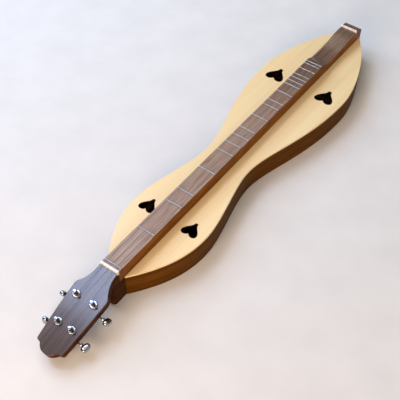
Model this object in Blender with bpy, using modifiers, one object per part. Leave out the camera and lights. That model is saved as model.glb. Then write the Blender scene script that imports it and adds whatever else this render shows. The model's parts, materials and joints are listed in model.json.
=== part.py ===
# Mountain dulcimer: an hourglass soundbox, a raised fretboard with twenty frets, and four geared strings.
# Every size is in metres. x runs from the zero fret to the tail, y to the bass side, z up from the table.

import math
from collections import namedtuple

import bmesh
import bpy
import numpy as np
from mathutils import Matrix, Vector

# Gap between pieces that touch on the real instrument
GAP = 0.0003
# How far a cutting shape reaches past what it cuts, and how close points are made one
OVERCUT = 0.0020
MERGE = 0.000002
SHARP = math.radians(35)
# Lengths of curve handles: for an eased stretch as a share of it, for a corner as a share of its reach
EASE = 0.36
ROUND_HANDLE = 0.55

# Strings and frets
SCALE_LENGTH = 0.690
FRET_STEPS = {
    "zero_fret": 0, "fret_1": 2, "fret_2": 4, "fret_3": 5, "fret_4": 7, "fret_5": 9, "fret_6": 10,
    "fret_6_half": 11, "fret_7": 12, "fret_8": 14, "fret_9": 16, "fret_10": 17, "fret_11": 19,
    "fret_12": 21, "fret_13": 22, "fret_13_half": 23, "fret_14": 24, "fret_15": 26, "fret_16": 28,
    "fret_17": 29,
}
FRET_CROWN_WIDTH = 0.0022
FRET_CROWN_HEIGHT = 0.0010
FRET_TANG_WIDTH = 0.0006
FRET_TANG_DEPTH = 0.0018

# Soundbox
BODY_DEPTH = 0.0442
BODY_START = 0.005
BRIDGE_TO_BODY_END = 0.018
END_WIDTH = 0.033
UPPER_BOUT_WIDTH = 0.137
UPPER_BOUT_AT = 0.137
WAIST_WIDTH = 0.086
WAIST_AT = 0.288
LOWER_BOUT_WIDTH = 0.169
LOWER_BOUT_AT = 0.530
HEAD_FLARE = math.radians(37.5)
TAIL_FLARE = math.radians(42.5)
# How full each stretch of the outline is, as shares of the stretch's length at its two ends
FULLNESS = ((0.40, 0.39), (0.285, 0.275), (0.235, 0.48), (0.27, 0.31))
OUTLINE_STEPS = 14
OUTLINE_RUN_ON = 0.010
SOUNDBOARD_THICKNESS = 0.0030
BACK_THICKNESS = 0.0025
SIDE_THICKNESS = 0.0023
LINING_WIDTH = 0.0050
LINING_HEIGHT = 0.0065

# Heart sound holes: distance along the string, distance from the centre line, tip to cleft
HEARTS = ((0.1370, 0.0414, 0.0220), (0.5242, 0.0515, 0.0270))
# The heart's shape as shares of its length: the blunt tip's width, then its widest place and its lobes' reach
HEART_TIP = 0.0985
HEART_WIDEST = (-0.500, 0.610)
HEART_REACH = 0.867

# Blocks and braces
HEEL_REACH = 0.0137
HEEL_RADIUS = 0.008
HEAD_BLOCK_LENGTH = 0.023
TAIL_BLOCK_LENGTH = 0.022
TAIL_CAP = 0.0035
BRACE_WIDTH = 0.008
BRACE_HEIGHT = 0.010
BRACE_TIP = 0.003
BRACE_FULL_SHARE = 0.45
TOP_BRACES = (0.215, 0.400)
BACK_BRACES = (0.110, 0.320, 0.560)

# Fretboard
FRETBOARD_WIDTH = 0.0322
FRETBOARD_HEIGHT = 0.0242
FRETBOARD_START = -0.0055
STRUM_START = 0.0050
STRUM_SLOPE = 0.0225
STRUM_FLOOR = 0.0240
STRUM_DEPTH = 0.0075
STRUM_EDGE_ANGLE = math.radians(8)
PLATFORM_LENGTH = 0.026
PLATFORM_DROP = 0.0010
PLATFORM_EDGE_ANGLE = math.radians(10)
TAIL_SLOPE_START = 0.0065
TAIL_SLOPE_DROP = 0.0050
TAIL_EDGE_ANGLE = math.radians(41)
CHANNEL_WIDTH = 0.016
CHANNEL_DEPTH = 0.012
CHANNEL_START = 0.035
CHANNEL_STOP = 0.015

# Nut and bridge
NUT_THICKNESS = 0.0037
NUT_RISE = 0.0022
NUT_SEAT_DEPTH = 0.0060
BRIDGE_THICKNESS = 0.0030
BRIDGE_RISE = 0.0028
BRIDGE_SEAT_DEPTH = 0.0030
BRIDGE_CHAMFER = 0.0006

# Headstock
HEAD_TILT = math.radians(16.5)
FACE_DROP = 0.0018
HEADSTOCK_THICKNESS = 0.0118
VENEER_THICKNESS = 0.0015
HEAD_LENGTH = 0.1465
# Corners of the headstock's outline: distance from the nut, width there, and how far their rounding reaches
HEAD_NECK = (0.0230, FRETBOARD_WIDTH, 0.0180)
HEAD_CORNER = (0.0390, 0.0602, 0.0050)
HEAD_FLANK = (0.0880, 0.0560, 0.0300)
HEAD_SHOULDER = (0.1352, 0.0469, 0.0028)
HEAD_DIP = (0.1370, 0.0318, 0.0014)

# Tuners: distance along the headstock and from its centre line
POST_NEAR_NUT = (0.0543, 0.0158)
POST_NEAR_TIP = (0.1001, 0.0127)
POST_RADIUS = 0.0030
POST_HEIGHT = 0.0128
POST_WAIST_RADIUS = 0.0026
POST_WAIST_TOP = 0.0030
POST_WAIST_LENGTH = 0.0055
POST_WAIST_EASE = 0.0016
POST_CHAMFER = 0.0007
STRING_HOLE_RADIUS = 0.0008
STRING_HOLE_AT = 0.0080
BUSHING_SLEEVE_RADIUS = 0.0040
SLEEVE_SHORT_OF_BACK = 0.0049
WASHER_RADIUS = 0.0063
WASHER_THICKNESS = 0.0010
HEX_WIDTH = 0.0100
HEX_HEIGHT = 0.0018
HEX_CHAMFER = 0.0003
WHEEL_TEETH = 14
WHEEL_PITCH_RADIUS = 0.0049
WHEEL_WIDTH = 0.0026
TOOTH_RISE = 0.00045
TOOTH_FALL = 0.0010
WORM_PITCH_RADIUS = 0.0023
WORM_CREST_RADIUS = 0.0027
WORM_ROOT_RADIUS = 0.0015
WORM_LENGTH = 0.0080
WORM_DEPTH = 0.0034
WORM_SHAFT_RADIUS = 0.0014
# The thread's half width at its foot and its flank's width, as shares of the lead
THREAD_FOOT = 0.30
THREAD_FLANK = 0.16
JOURNAL_RADIUS = 0.0015
HOUSING_DEPTH = 0.0080
HOUSING_WALL = 0.0012
HOUSING_CORNER = 0.0012
HOUSING_CLEARANCE = 0.0004
BUTTON_AT = 0.0250
BUTTON_WIDTH = 0.0158
BUTTON_LENGTH = 0.0112
BUTTON_THICKNESS = 0.0080
BUTTON_ROUNDING = 0.0026
BUTTON_ROUNDING_STEPS = 3
BUTTON_SQUARENESS = 0.8
BUTTON_COLLAR_RADIUS = 0.0028
BUTTON_COLLAR_LENGTH = 0.0030

# The button turn is how far a string's button is turned on its shaft; side is 1 on the treble side
String = namedtuple("String", "name y_nut y_ball radius post side button_turn")
STRINGS = (
    String("bass", 0.0110, 0.0110, 0.00028, POST_NEAR_NUT, -1, math.radians(72)),
    String("middle", 0.0000, 0.0020, 0.00018, POST_NEAR_TIP, -1, math.radians(-73)),
    String("melody_inner", -0.0080, -0.0068, 0.00015, POST_NEAR_TIP, 1, math.radians(-16)),
    String("melody_outer", -0.0110, -0.0123, 0.00015, POST_NEAR_NUT, 1, math.radians(-41)),
)
BALL_RADIUS = 0.0019
BALL_LENGTH = 0.0028
BALL_SHOULDER = 0.0005
BALL_INSET = 0.0024
BALL_DROP = 0.0112
STRING_HOLE_CLEARANCE = 0.0005
WINDING_TURNS = 2
WINDING_POINTS = 24
WINDING_GAP = 0.00045
WINDING_TAIL = 0.0006
NUT_SLOT_CLEARANCE = 0.00035

# Heights and places that follow from the sizes above
FRETBOARD_TOP = BODY_DEPTH + FRETBOARD_HEIGHT
FRETBOARD_HALF = FRETBOARD_WIDTH / 2
BODY_END = SCALE_LENGTH + BRIDGE_TO_BODY_END
TAIL_END = BODY_END + TAIL_CAP
INNER_TOP = BODY_DEPTH - SOUNDBOARD_THICKNESS - GAP
INNER_BOTTOM = BACK_THICKNESS + GAP
NUT_END = FRETBOARD_START - GAP
NUT_START = NUT_END - NUT_THICKNESS
HEADSTOCK_START = NUT_START - GAP
NUT_SEAT = FRETBOARD_TOP - NUT_SEAT_DEPTH
FACE_TOP = FRETBOARD_TOP - FACE_DROP
HEAD_STACK = VENEER_THICKNESS + GAP + HEADSTOCK_THICKNESS
PLATFORM_TOP = FRETBOARD_TOP - PLATFORM_DROP
BRIDGE_TOP = FRETBOARD_TOP + BRIDGE_RISE
LAST_FRET_X = SCALE_LENGTH * (1 - 2 ** (-max(FRET_STEPS.values()) / 12))
HEEL_FRONT = HEADSTOCK_START - HEEL_REACH
HEAD_BLOCK_END = BODY_START + HEAD_BLOCK_LENGTH
TAIL_BLOCK_START = BODY_END - TAIL_BLOCK_LENGTH
HOUSING_FLANK = max(WORM_LENGTH / 2, WHEEL_PITCH_RADIUS + TOOTH_RISE) + HOUSING_CLEARANCE
WORM_OFFSET = WHEEL_PITCH_RADIUS + WORM_PITCH_RADIUS
WORM_LEAD = 2 * math.pi * WHEEL_PITCH_RADIUS / WHEEL_TEETH
FIRST_TURN = 2 * GAP + WASHER_THICKNESS + HEX_HEIGHT + WINDING_GAP
HEAD_TIP_X = HEADSTOCK_START - HEAD_LENGTH * math.cos(HEAD_TILT)
CENTRE_X = (HEAD_TIP_X + TAIL_END) / 2

# Flat shapes are drawn in x and y; this stands them up so that they are drawn in x and z
UPRIGHT = Matrix.Rotation(math.pi / 2, 4, "X")
# The headstock's own frame: x to the tip, y to the treble side, z out of its face
HEAD_FRAME = Matrix((
    (-math.cos(HEAD_TILT), 0, -math.sin(HEAD_TILT), HEADSTOCK_START),
    (0, -1, 0, 0),
    (-math.sin(HEAD_TILT), 0, math.cos(HEAD_TILT), FACE_TOP),
    (0, 0, 0, 1),
))


def clear_scene():
    for old in list(bpy.data.objects):
        bpy.data.objects.remove(old, do_unlink=True)


def new_collection(name):
    collection = bpy.data.collections.new(name)
    bpy.context.scene.collection.children.link(collection)
    return collection


def material(name, colour, roughness, metallic=0.0):
    made = bpy.data.materials.new(name)
    made.use_nodes = True
    shader = made.node_tree.nodes["Principled BSDF"]
    shader.inputs["Base Color"].default_value = (*colour, 1.0)
    shader.inputs["Roughness"].default_value = roughness
    shader.inputs["Metallic"].default_value = metallic
    return made


clear_scene()
PARTS = new_collection("mountain_dulcimer")
CUTTERS = new_collection("cutters")
SPRUCE = material("spruce", (0.80, 0.58, 0.33), 0.45)
WALNUT = material("walnut", (0.12, 0.055, 0.025), 0.40)
ROSEWOOD = material("rosewood", (0.16, 0.075, 0.045), 0.40)
INNER_WOOD = material("inner wood", (0.60, 0.42, 0.25), 0.60)
BONE = material("bone", (0.88, 0.86, 0.78), 0.35)
NICKEL = material("nickel silver", (0.70, 0.69, 0.66), 0.25, 1.0)
CHROME = material("chrome", (0.80, 0.81, 0.82), 0.12, 1.0)
STEEL = material("string steel", (0.62, 0.60, 0.56), 0.30, 1.0)
BRONZE = material("string bronze", (0.55, 0.36, 0.18), 0.35, 1.0)

BENCH = bpy.data.objects.new("bench", None)
BENCH.location = (-CENTRE_X, 0, 0)
PARTS.objects.link(BENCH)


def place(name, mesh, finish, matrix=Matrix(), parent=BENCH):
    """Put a finished piece among the parts."""
    piece = bpy.data.objects.new(name, mesh)
    PARTS.objects.link(piece)
    piece.parent = parent
    piece.matrix_local = matrix
    if finish:
        mesh.materials.clear()
        mesh.materials.append(finish)
    return piece


def place_tool(name, mesh, matrix=Matrix(), parent=BENCH):
    """Put a cutting or joining shape among the cutters."""
    tool = bpy.data.objects.new(name, mesh)
    CUTTERS.objects.link(tool)
    tool.parent = parent
    tool.matrix_local = matrix
    tool.hide_render = True
    tool.display_type = "WIRE"
    return tool


def combine(piece, tool, operation):
    step = piece.modifiers.new(operation.lower(), "BOOLEAN")
    step.operation = operation
    step.solver = "EXACT"
    step.object = tool


def shade_round(piece):
    piece.data.shade_smooth()
    piece.data.set_sharp_from_angle(angle=SHARP)


def weld(mesh):
    """Join the loose caps of a shape and turn its faces outwards."""
    shape = bmesh.new()
    shape.from_mesh(mesh)
    bmesh.ops.remove_doubles(shape, verts=shape.verts, dist=MERGE)
    bmesh.ops.recalc_face_normals(shape, faces=shape.faces)
    shape.to_mesh(mesh)
    shape.free()
    return mesh


def curve_to_mesh(curve):
    holder = bpy.data.objects.new(curve.name, curve)
    bpy.context.scene.collection.objects.link(holder)
    graph = bpy.context.evaluated_depsgraph_get()
    mesh = bpy.data.meshes.new_from_object(holder.evaluated_get(graph))
    bpy.data.objects.remove(holder)
    return weld(mesh)


def flat_solid(name, loops, thickness):
    """A flat outline, with any holes in it, given a thickness about its plane."""
    curve = bpy.data.curves.new(name, "CURVE")
    curve.dimensions = "2D"
    curve.fill_mode = "BOTH"
    curve.extrude = thickness / 2
    for loop in loops:
        spline = curve.splines.new("POLY")
        spline.points.add(len(loop) - 1)
        for point, (x, y) in zip(spline.points, loop):
            point.co = (x, y, 0, 1)
        spline.use_cyclic_u = True
    return curve_to_mesh(curve)


def level_solid(name, loops, low, high):
    """An outline in x and y that reaches from one height to another."""
    mesh = flat_solid(name, loops, high - low)
    mesh.transform(Matrix.Translation((0, 0, (low + high) / 2)))
    return mesh


def upright_solid(name, loop, width, centre=0.0):
    """An outline in x and z that is as wide across the instrument as asked."""
    mesh = flat_solid(name, [loop], width)
    mesh.transform(Matrix.Translation((0, centre, 0)) @ UPRIGHT)
    return mesh


def add_box(shape, low, high):
    """Add a box between two corners to a shape being built."""
    size = Vector(high) - Vector(low)
    middle = (Vector(high) + Vector(low)) / 2
    matrix = Matrix.Translation(middle) @ Matrix.Diagonal((*size, 1))
    bmesh.ops.create_cube(shape, size=1, matrix=matrix)


def boxes(name, corners):
    mesh = bpy.data.meshes.new(name)
    shape = bmesh.new()
    for low, high in corners:
        add_box(shape, low, high)
    shape.to_mesh(mesh)
    shape.free()
    return mesh


def rod(name, radius, start, end, sides=12):
    """A round bar between two points."""
    start, end = Vector(start), Vector(end)
    mesh = bpy.data.meshes.new(name)
    shape = bmesh.new()
    turn = (end - start).to_track_quat("Z", "Y").to_matrix().to_4x4()
    bmesh.ops.create_cone(shape, cap_ends=True, segments=sides, radius1=radius, radius2=radius,
                          depth=(end - start).length, matrix=Matrix.Translation((start + end) / 2) @ turn)
    shape.to_mesh(mesh)
    shape.free()
    return mesh


def turned(name, profile, closed, steps, finish, parent, matrix=Matrix()):
    """A turned piece: the profile runs down its outer side as radius and height."""
    mesh = bpy.data.meshes.new(name)
    last = len(profile)
    edges = [(i, (i + 1) % last) for i in range(last if closed else last - 1)]
    mesh.from_pydata([(radius, 0, height) for radius, height in profile], edges, [])
    piece = place(name, mesh, finish, matrix, parent)
    screw = piece.modifiers.new("turn", "SCREW")
    screw.axis = "Z"
    screw.steps = steps
    screw.render_steps = steps
    screw.use_merge_vertices = True
    screw.merge_threshold = MERGE
    return piece


def bezier(start, first, second, end, steps):
    """Points along one curved stretch, without its last point."""
    points = []
    for i in range(steps):
        t = i / steps
        weights = ((1 - t) ** 3, 3 * (1 - t) ** 2 * t, 3 * (1 - t) * t * t, t ** 3)
        points.append(tuple(sum(w * p[k] for w, p in zip(weights, (start, first, second, end)))
                            for k in (0, 1)))
    return points


def arc(centre, radius, start, end, steps):
    """Points on a round stretch, both ends included, between two angles in degrees."""
    return [(centre[0] + radius * math.cos(a), centre[1] + radius * math.sin(a))
            for a in np.radians(np.linspace(start, end, steps))]


def eased(start, start_angle, end, end_angle, steps):
    """A curved stretch that leaves and arrives at the given slopes, without its last point."""
    reach = (end[0] - start[0]) * EASE
    first = (start[0] + reach, start[1] + reach * math.tan(start_angle))
    second = (end[0] - reach, end[1] - reach * math.tan(end_angle))
    return bezier(start, first, second, end, steps)


def rounded(corners, steps):
    """An open outline through corners given as x, y and how far each way their rounding reaches."""
    places = [Vector(corner[:2]) for corner in corners]
    points = []
    for i, (x, y, wanted) in enumerate(corners):
        if not wanted:
            points.append((x, y))
            continue
        ends = []
        for j in (i - 1, i + 1):
            away = places[j] - places[i]
            room = away.length * wanted / (wanted + corners[j][2] + MERGE)
            ends.append(places[i] + away.normalized() * min(wanted, room))
        first, second = (end.lerp(places[i], ROUND_HANDLE) for end in ends)
        points += bezier(ends[0], first, second, ends[1], steps)
        points.append(tuple(ends[1]))
    return points


def body_outline():
    """Half widths of the soundbox from the head end to the tail end."""
    stations = ((BODY_START, END_WIDTH / 2), (UPPER_BOUT_AT, UPPER_BOUT_WIDTH / 2),
                (WAIST_AT, WAIST_WIDTH / 2), (LOWER_BOUT_AT, LOWER_BOUT_WIDTH / 2),
                (BODY_END, END_WIDTH / 2))
    points = []
    for i, (share_a, share_b) in enumerate(FULLNESS):
        a, b = stations[i], stations[i + 1]
        span = b[0] - a[0]
        rise_a = math.tan(HEAD_FLARE) if i == 0 else 0.0
        rise_b = math.tan(TAIL_FLARE) if i == len(FULLNESS) - 1 else 0.0
        reach_a = span * share_a * math.cos(math.atan(rise_a))
        reach_b = span * share_b * math.cos(math.atan(rise_b))
        first = (a[0] + reach_a, a[1] + reach_a * rise_a)
        second = (b[0] - reach_b, b[1] + reach_b * rise_b)
        points += bezier(a, first, second, b, OUTLINE_STEPS)
    points.append(stations[-1])
    return np.array(points)


OUTLINE = body_outline()


def half_width(xs, inset=0.0):
    """Half width of the soundbox at each x, measured a wall's thickness inside its outline."""
    head_run = -OUTLINE_RUN_ON * np.array([[math.cos(HEAD_FLARE), math.sin(HEAD_FLARE)]])
    tail_run = OUTLINE_RUN_ON * np.array([[math.cos(TAIL_FLARE), -math.sin(TAIL_FLARE)]])
    line = np.vstack([OUTLINE[0] + head_run, OUTLINE, OUTLINE[-1] + tail_run])
    slope = np.gradient(line, axis=0)
    normal = np.stack([slope[:, 1], -slope[:, 0]], axis=1)
    normal /= np.linalg.norm(normal, axis=1)[:, None]
    moved = line + inset * normal
    return np.interp(xs, moved[:, 0], moved[:, 1])


def stations_between(start, end):
    inner = [x for x in OUTLINE[:, 0] if start + OVERCUT < x < end - OVERCUT]
    return np.array([start] + inner + [end])


def strip_loop(start, end, outer, inner, side):
    """A bent strip between two insets of the outline, on one side of the instrument."""
    xs = stations_between(start, end)
    far = [(x, side * w) for x, w in zip(xs, half_width(xs, outer))]
    near = [(x, side * w) for x, w in zip(xs, half_width(xs, inner))]
    return far + near[::-1]


def plate_loop():
    """The whole outline of the soundboard and the back."""
    xs = stations_between(BODY_START + GAP, BODY_END)
    half = list(zip(xs, half_width(xs))) + [(TAIL_END, END_WIDTH / 2)]
    return half + [(x, -y) for x, y in half[::-1]]


def heart_loop(x, y, length):
    """A heart with its tip to the tail: one lobe is drawn and the other mirrors it."""
    tip, shoulder = (0.5, 0.0), (0.45, HEART_TIP)
    across, out = HEART_WIDEST
    cleft = (-0.5, 0.0)
    lobe = bezier(tip, (0.5, HEART_TIP / 2), (0.49, HEART_TIP), shoulder, 2)
    lobe += bezier(shoulder, (0.12, HEART_TIP), (-0.09, out), (across, out), 8)
    lobe += bezier((across, out), (across - 0.226, out), (-HEART_REACH, out * 0.4), cleft, 8)
    lobe.append(cleft)
    loop = lobe + [(u, -v) for u, v in lobe[-2:0:-1]]
    return [(x + u * length, y + v * length) for u, v in loop]


def soundbox():
    hearts = [heart_loop(x, side * y, size) for x, y, size in HEARTS for side in (1, -1)]
    top = level_solid("soundboard", [plate_loop()] + hearts, BODY_DEPTH - SOUNDBOARD_THICKNESS, BODY_DEPTH)
    place("soundboard", top, SPRUCE)
    place("back", level_solid("back", [plate_loop()], 0, BACK_THICKNESS), WALNUT)
    for name, side in (("bass", 1), ("treble", -1)):
        loop = strip_loop(BODY_START + GAP, BODY_END - GAP, 0, SIDE_THICKNESS, side)
        wall = level_solid("side_" + name, [loop], INNER_BOTTOM, INNER_TOP)
        place("side_" + name, wall, WALNUT)
        run = strip_loop(HEAD_BLOCK_END + GAP, TAIL_BLOCK_START - GAP, SIDE_THICKNESS + GAP,
                         SIDE_THICKNESS + GAP + LINING_WIDTH, side)
        for level, low in (("top", INNER_TOP - LINING_HEIGHT), ("back", INNER_BOTTOM)):
            piece = "lining_" + level + "_" + name
            place(piece, level_solid(piece, [run], low, low + LINING_HEIGHT), INNER_WOOD)


def brace(name, x, base, rise):
    """A cross brace: full height in the middle and thinned towards its ends."""
    edges = (x - BRACE_WIDTH / 2, x, x + BRACE_WIDTH / 2)
    reach = float(min(half_width(edges, SIDE_THICKNESS + LINING_WIDTH + 2 * GAP)))
    full = reach * BRACE_FULL_SHARE
    loop = [(-reach, 0), (reach, 0), (reach, BRACE_TIP), (full, BRACE_HEIGHT), (-full, BRACE_HEIGHT),
            (-reach, BRACE_TIP)]
    mesh = flat_solid(name, [[(y, base + rise * z) for y, z in loop]], BRACE_WIDTH)
    across = Matrix(((0, 0, 1, x), (1, 0, 0, 0), (0, 1, 0, 0), (0, 0, 0, 1)))
    mesh.transform(across)
    place(name, mesh, INNER_WOOD)


def braces():
    for i, x in enumerate(TOP_BRACES, 1):
        brace("top_brace_" + str(i), x, INNER_TOP, -1)
    for i, x in enumerate(BACK_BRACES, 1):
        brace("back_brace_" + str(i), x, INNER_BOTTOM, 1)


def head_underside(x):
    """Height of the headstock's lower face at x, less the gap."""
    face = FACE_TOP + (x - HEADSTOCK_START) * math.tan(HEAD_TILT)
    return face - (HEAD_STACK + GAP) / math.cos(HEAD_TILT)


def head_block():
    """The block that carries the nut and the headstock and closes the head end of the soundbox."""
    round_x = HEEL_FRONT + HEEL_RADIUS
    loop = [(HEEL_FRONT, head_underside(HEEL_FRONT))]
    loop += arc((round_x, HEEL_RADIUS), HEEL_RADIUS, 180, 270, 6)
    loop += [(BODY_START, 0), (BODY_START, BODY_DEPTH), (NUT_END, BODY_DEPTH), (NUT_END, NUT_SEAT),
             (NUT_START, NUT_SEAT), (NUT_START, head_underside(NUT_START))]
    block = place("head_block", upright_solid("head_block", loop, FRETBOARD_WIDTH), WALNUT)
    xs = np.linspace(BODY_START, HEAD_BLOCK_END, 5)
    widths = half_width(xs, SIDE_THICKNESS + GAP)
    half = [(BODY_START - OVERCUT, widths[0])] + list(zip(xs, widths))
    loop = half + [(x, -y) for x, y in half[::-1]]
    tongue = level_solid("head_block_tongue", [loop], INNER_BOTTOM, INNER_TOP)
    combine(block, place_tool("head_block_tongue", tongue), "UNION")
    round_y = FRETBOARD_HALF - HEEL_RADIUS
    wide = FRETBOARD_WIDTH
    plan = [(HEAD_BLOCK_END + OVERCUT, wide), (round_x, wide)]
    plan += arc((round_x, round_y), HEEL_RADIUS, 90, 180, 5)
    plan += arc((round_x, -round_y), HEEL_RADIUS, 180, 270, 5)
    plan += [(round_x, -wide), (HEAD_BLOCK_END + OVERCUT, -wide)]
    rounding = level_solid("heel_rounding", [plan], -OVERCUT, FRETBOARD_TOP)
    combine(block, place_tool("heel_rounding", rounding), "INTERSECT")


def tail_block():
    xs = np.linspace(TAIL_BLOCK_START, BODY_END, 5)
    half = [(x, float(w)) for x, w in zip(xs, half_width(xs, SIDE_THICKNESS + GAP))]
    half += [(BODY_END, END_WIDTH / 2), (TAIL_END, END_WIDTH / 2)]
    loop = half + [(x, -y) for x, y in half[::-1]]
    place("tail_block", level_solid("tail_block", [loop], INNER_BOTTOM, INNER_TOP), WALNUT)


def string_line(string):
    """Where a string leaves the bridge and where its ball lies."""
    leave = Vector((SCALE_LENGTH + BRIDGE_THICKNESS / 2, string.y_nut, BRIDGE_TOP + GAP + string.radius))
    ball = Vector((TAIL_END - BALL_INSET, string.y_ball, FRETBOARD_TOP - BALL_DROP))
    return leave, ball


def fretboard_top():
    """The fretboard's upper edge in x and z: the frets' flat, the strum hollow, the bridge's and the tail."""
    drop = FRETBOARD_TOP - STRUM_DEPTH
    edge = (LAST_FRET_X + STRUM_START, FRETBOARD_TOP)
    near = (edge[0] + STRUM_SLOPE, drop)
    far = (near[0] + STRUM_FLOOR, drop)
    platform = (SCALE_LENGTH - PLATFORM_LENGTH, PLATFORM_TOP)
    slope = (SCALE_LENGTH + TAIL_SLOPE_START, PLATFORM_TOP)
    end = (TAIL_END, PLATFORM_TOP - TAIL_SLOPE_DROP)
    top = [(FRETBOARD_START, FRETBOARD_TOP)] + eased(edge, -STRUM_EDGE_ANGLE, near, 0, 6)
    top += [near] + eased(far, 0, platform, PLATFORM_EDGE_ANGLE, 6)
    return top + [platform] + eased(slope, 0, end, -TAIL_EDGE_ANGLE, 4) + [end]


def fretboard():
    low = BODY_DEPTH + GAP
    loop = fretboard_top() + [(TAIL_END, low), (FRETBOARD_START, low)]
    board = place("fretboard", upright_solid("fretboard", loop, FRETBOARD_WIDTH), ROSEWOOD)
    slot = FRET_TANG_WIDTH / 2 + GAP
    wide = FRETBOARD_WIDTH
    high = FRETBOARD_TOP + OVERCUT
    cuts = [((fret_x(n) - slot, -wide, FRETBOARD_TOP - FRET_TANG_DEPTH - GAP), (fret_x(n) + slot, wide, high))
            for n in FRET_STEPS.values()]
    seat = BRIDGE_THICKNESS / 2 + GAP
    cuts.append(((SCALE_LENGTH - seat, -wide, PLATFORM_TOP - BRIDGE_SEAT_DEPTH - GAP),
                 (SCALE_LENGTH + seat, wide, high)))
    cuts.append(((CHANNEL_START, -CHANNEL_WIDTH / 2, low - OVERCUT),
                 (LAST_FRET_X - CHANNEL_STOP, CHANNEL_WIDTH / 2, low + CHANNEL_DEPTH)))
    combine(board, place_tool("fretboard_slots", boxes("fretboard_slots", cuts)), "DIFFERENCE")
    for string in STRINGS:
        leave, ball = string_line(string)
        along = (ball - leave).normalized()
        bore = rod("bore_" + string.name, string.radius + STRING_HOLE_CLEARANCE, leave, ball, 8)
        combine(board, place_tool("bore_" + string.name, bore), "DIFFERENCE")
        seat = ball - along * (BALL_LENGTH / 2 + BALL_SHOULDER + GAP)
        out = ball + along * (BALL_INSET / along.x + OVERCUT)
        pocket = rod("pocket_" + string.name, BALL_RADIUS + GAP, seat, out, 10)
        combine(board, place_tool("pocket_" + string.name, pocket), "DIFFERENCE")


def fret_x(semitones):
    return SCALE_LENGTH * (1 - 2 ** (-semitones / 12))


def frets():
    base = FRETBOARD_TOP + GAP
    for name, semitones in FRET_STEPS.items():
        x = fret_x(semitones)
        half = FRET_CROWN_WIDTH / 2
        crown = [(x + half * u, base + FRET_CROWN_HEIGHT * v) for u, v in arc((0, 0), 1, 0, 180, 6)]
        tang = FRET_TANG_WIDTH / 2
        foot = FRETBOARD_TOP - FRET_TANG_DEPTH
        loop = crown + [(x - tang, base), (x - tang, foot), (x + tang, foot), (x + tang, base)]
        place(name, upright_solid(name, loop, FRETBOARD_WIDTH), NICKEL)


def nut():
    high = FRETBOARD_TOP + NUT_RISE
    solid = ((NUT_START, -FRETBOARD_HALF, NUT_SEAT + GAP), (NUT_END, FRETBOARD_HALF, high))
    piece = place("nut", boxes("nut", [solid]), BONE)
    cuts = []
    for string in STRINGS:
        half = string.radius + NUT_SLOT_CLEARANCE
        low = nut_exit(string).z - half
        cuts.append(((NUT_START - OVERCUT, string.y_nut - half, low),
                     (NUT_END + OVERCUT, string.y_nut + half, high + OVERCUT)))
    combine(piece, place_tool("nut_slots", boxes("nut_slots", cuts)), "DIFFERENCE")


def bridge():
    low = PLATFORM_TOP - BRIDGE_SEAT_DEPTH
    half = BRIDGE_THICKNESS / 2
    crest = half - BRIDGE_CHAMFER
    shoulder = BRIDGE_TOP - BRIDGE_CHAMFER
    side = [(half, low), (half, shoulder), (crest, BRIDGE_TOP)]
    loop = [(SCALE_LENGTH + x, z) for x, z in side] + [(SCALE_LENGTH - x, z) for x, z in side[::-1]]
    place("bridge", upright_solid("bridge", loop, FRETBOARD_WIDTH), BONE)


def headstock_loop():
    """The headstock's outline in its own frame, from the nut round the tip and back."""
    outline = (HEAD_NECK, HEAD_CORNER, HEAD_FLANK, HEAD_SHOULDER, HEAD_DIP)
    corners = [(at, width / 2, reach) for at, width, reach in outline]
    bulge = HEAD_LENGTH - HEAD_DIP[0]
    radius = (corners[-1][1] ** 2 + bulge ** 2) / (2 * bulge)
    sweep = math.degrees(math.asin(corners[-1][1] / radius))
    tip = [(x, y, 0) for x, y in arc((HEAD_LENGTH - radius, 0), radius, sweep * 0.9, 0, 7)]
    half = rounded([(-HEAD_STACK, corners[0][1], 0)] + corners + tip, 6)
    return half + [(x, -y) for x, y in half[-2::-1]]


def headstock():
    loop = headstock_loop()
    wide = FRETBOARD_WIDTH
    behind = ((HEADSTOCK_START, -wide, 0), (HEADSTOCK_START + 2 * HEAD_STACK, wide, 2 * FRETBOARD_TOP))
    end_cut = place_tool("headstock_end_cut", boxes("headstock_end_cut", [behind]))
    layers = (("headstock_veneer", -VENEER_THICKNESS, 0.0, ROSEWOOD),
              ("headstock", -HEAD_STACK, -VENEER_THICKNESS - GAP, WALNUT))
    for name, low, high, finish in layers:
        layer = place(name, level_solid(name, [loop], low, high), finish, HEAD_FRAME)
        combine(layer, end_cut, "DIFFERENCE")
        for string in STRINGS:
            x, y = string.post[0], string.side * string.post[1]
            hole = rod("hole_" + string.name, BUSHING_SLEEVE_RADIUS + GAP, (x, y, OVERCUT),
                       (x, y, -HEAD_STACK - OVERCUT), 14)
            combine(layer, place_tool(name + "_hole_" + string.name, hole, HEAD_FRAME), "DIFFERENCE")


def wheel_loop():
    """A fourteen-tooth wheel with a gap between teeth facing the worm."""
    tip = WHEEL_PITCH_RADIUS + TOOTH_RISE
    root = WHEEL_PITCH_RADIUS - TOOTH_FALL
    pitch = 2 * math.pi / WHEEL_TEETH
    loop = []
    for tooth in range(WHEEL_TEETH):
        middle = (tooth + 0.5) * pitch
        for share, radius in ((-0.24, root), (-0.12, tip), (0.12, tip), (0.24, root)):
            angle = middle + share * pitch
            loop.append((radius * math.cos(angle), radius * math.sin(angle)))
    return loop


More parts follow.
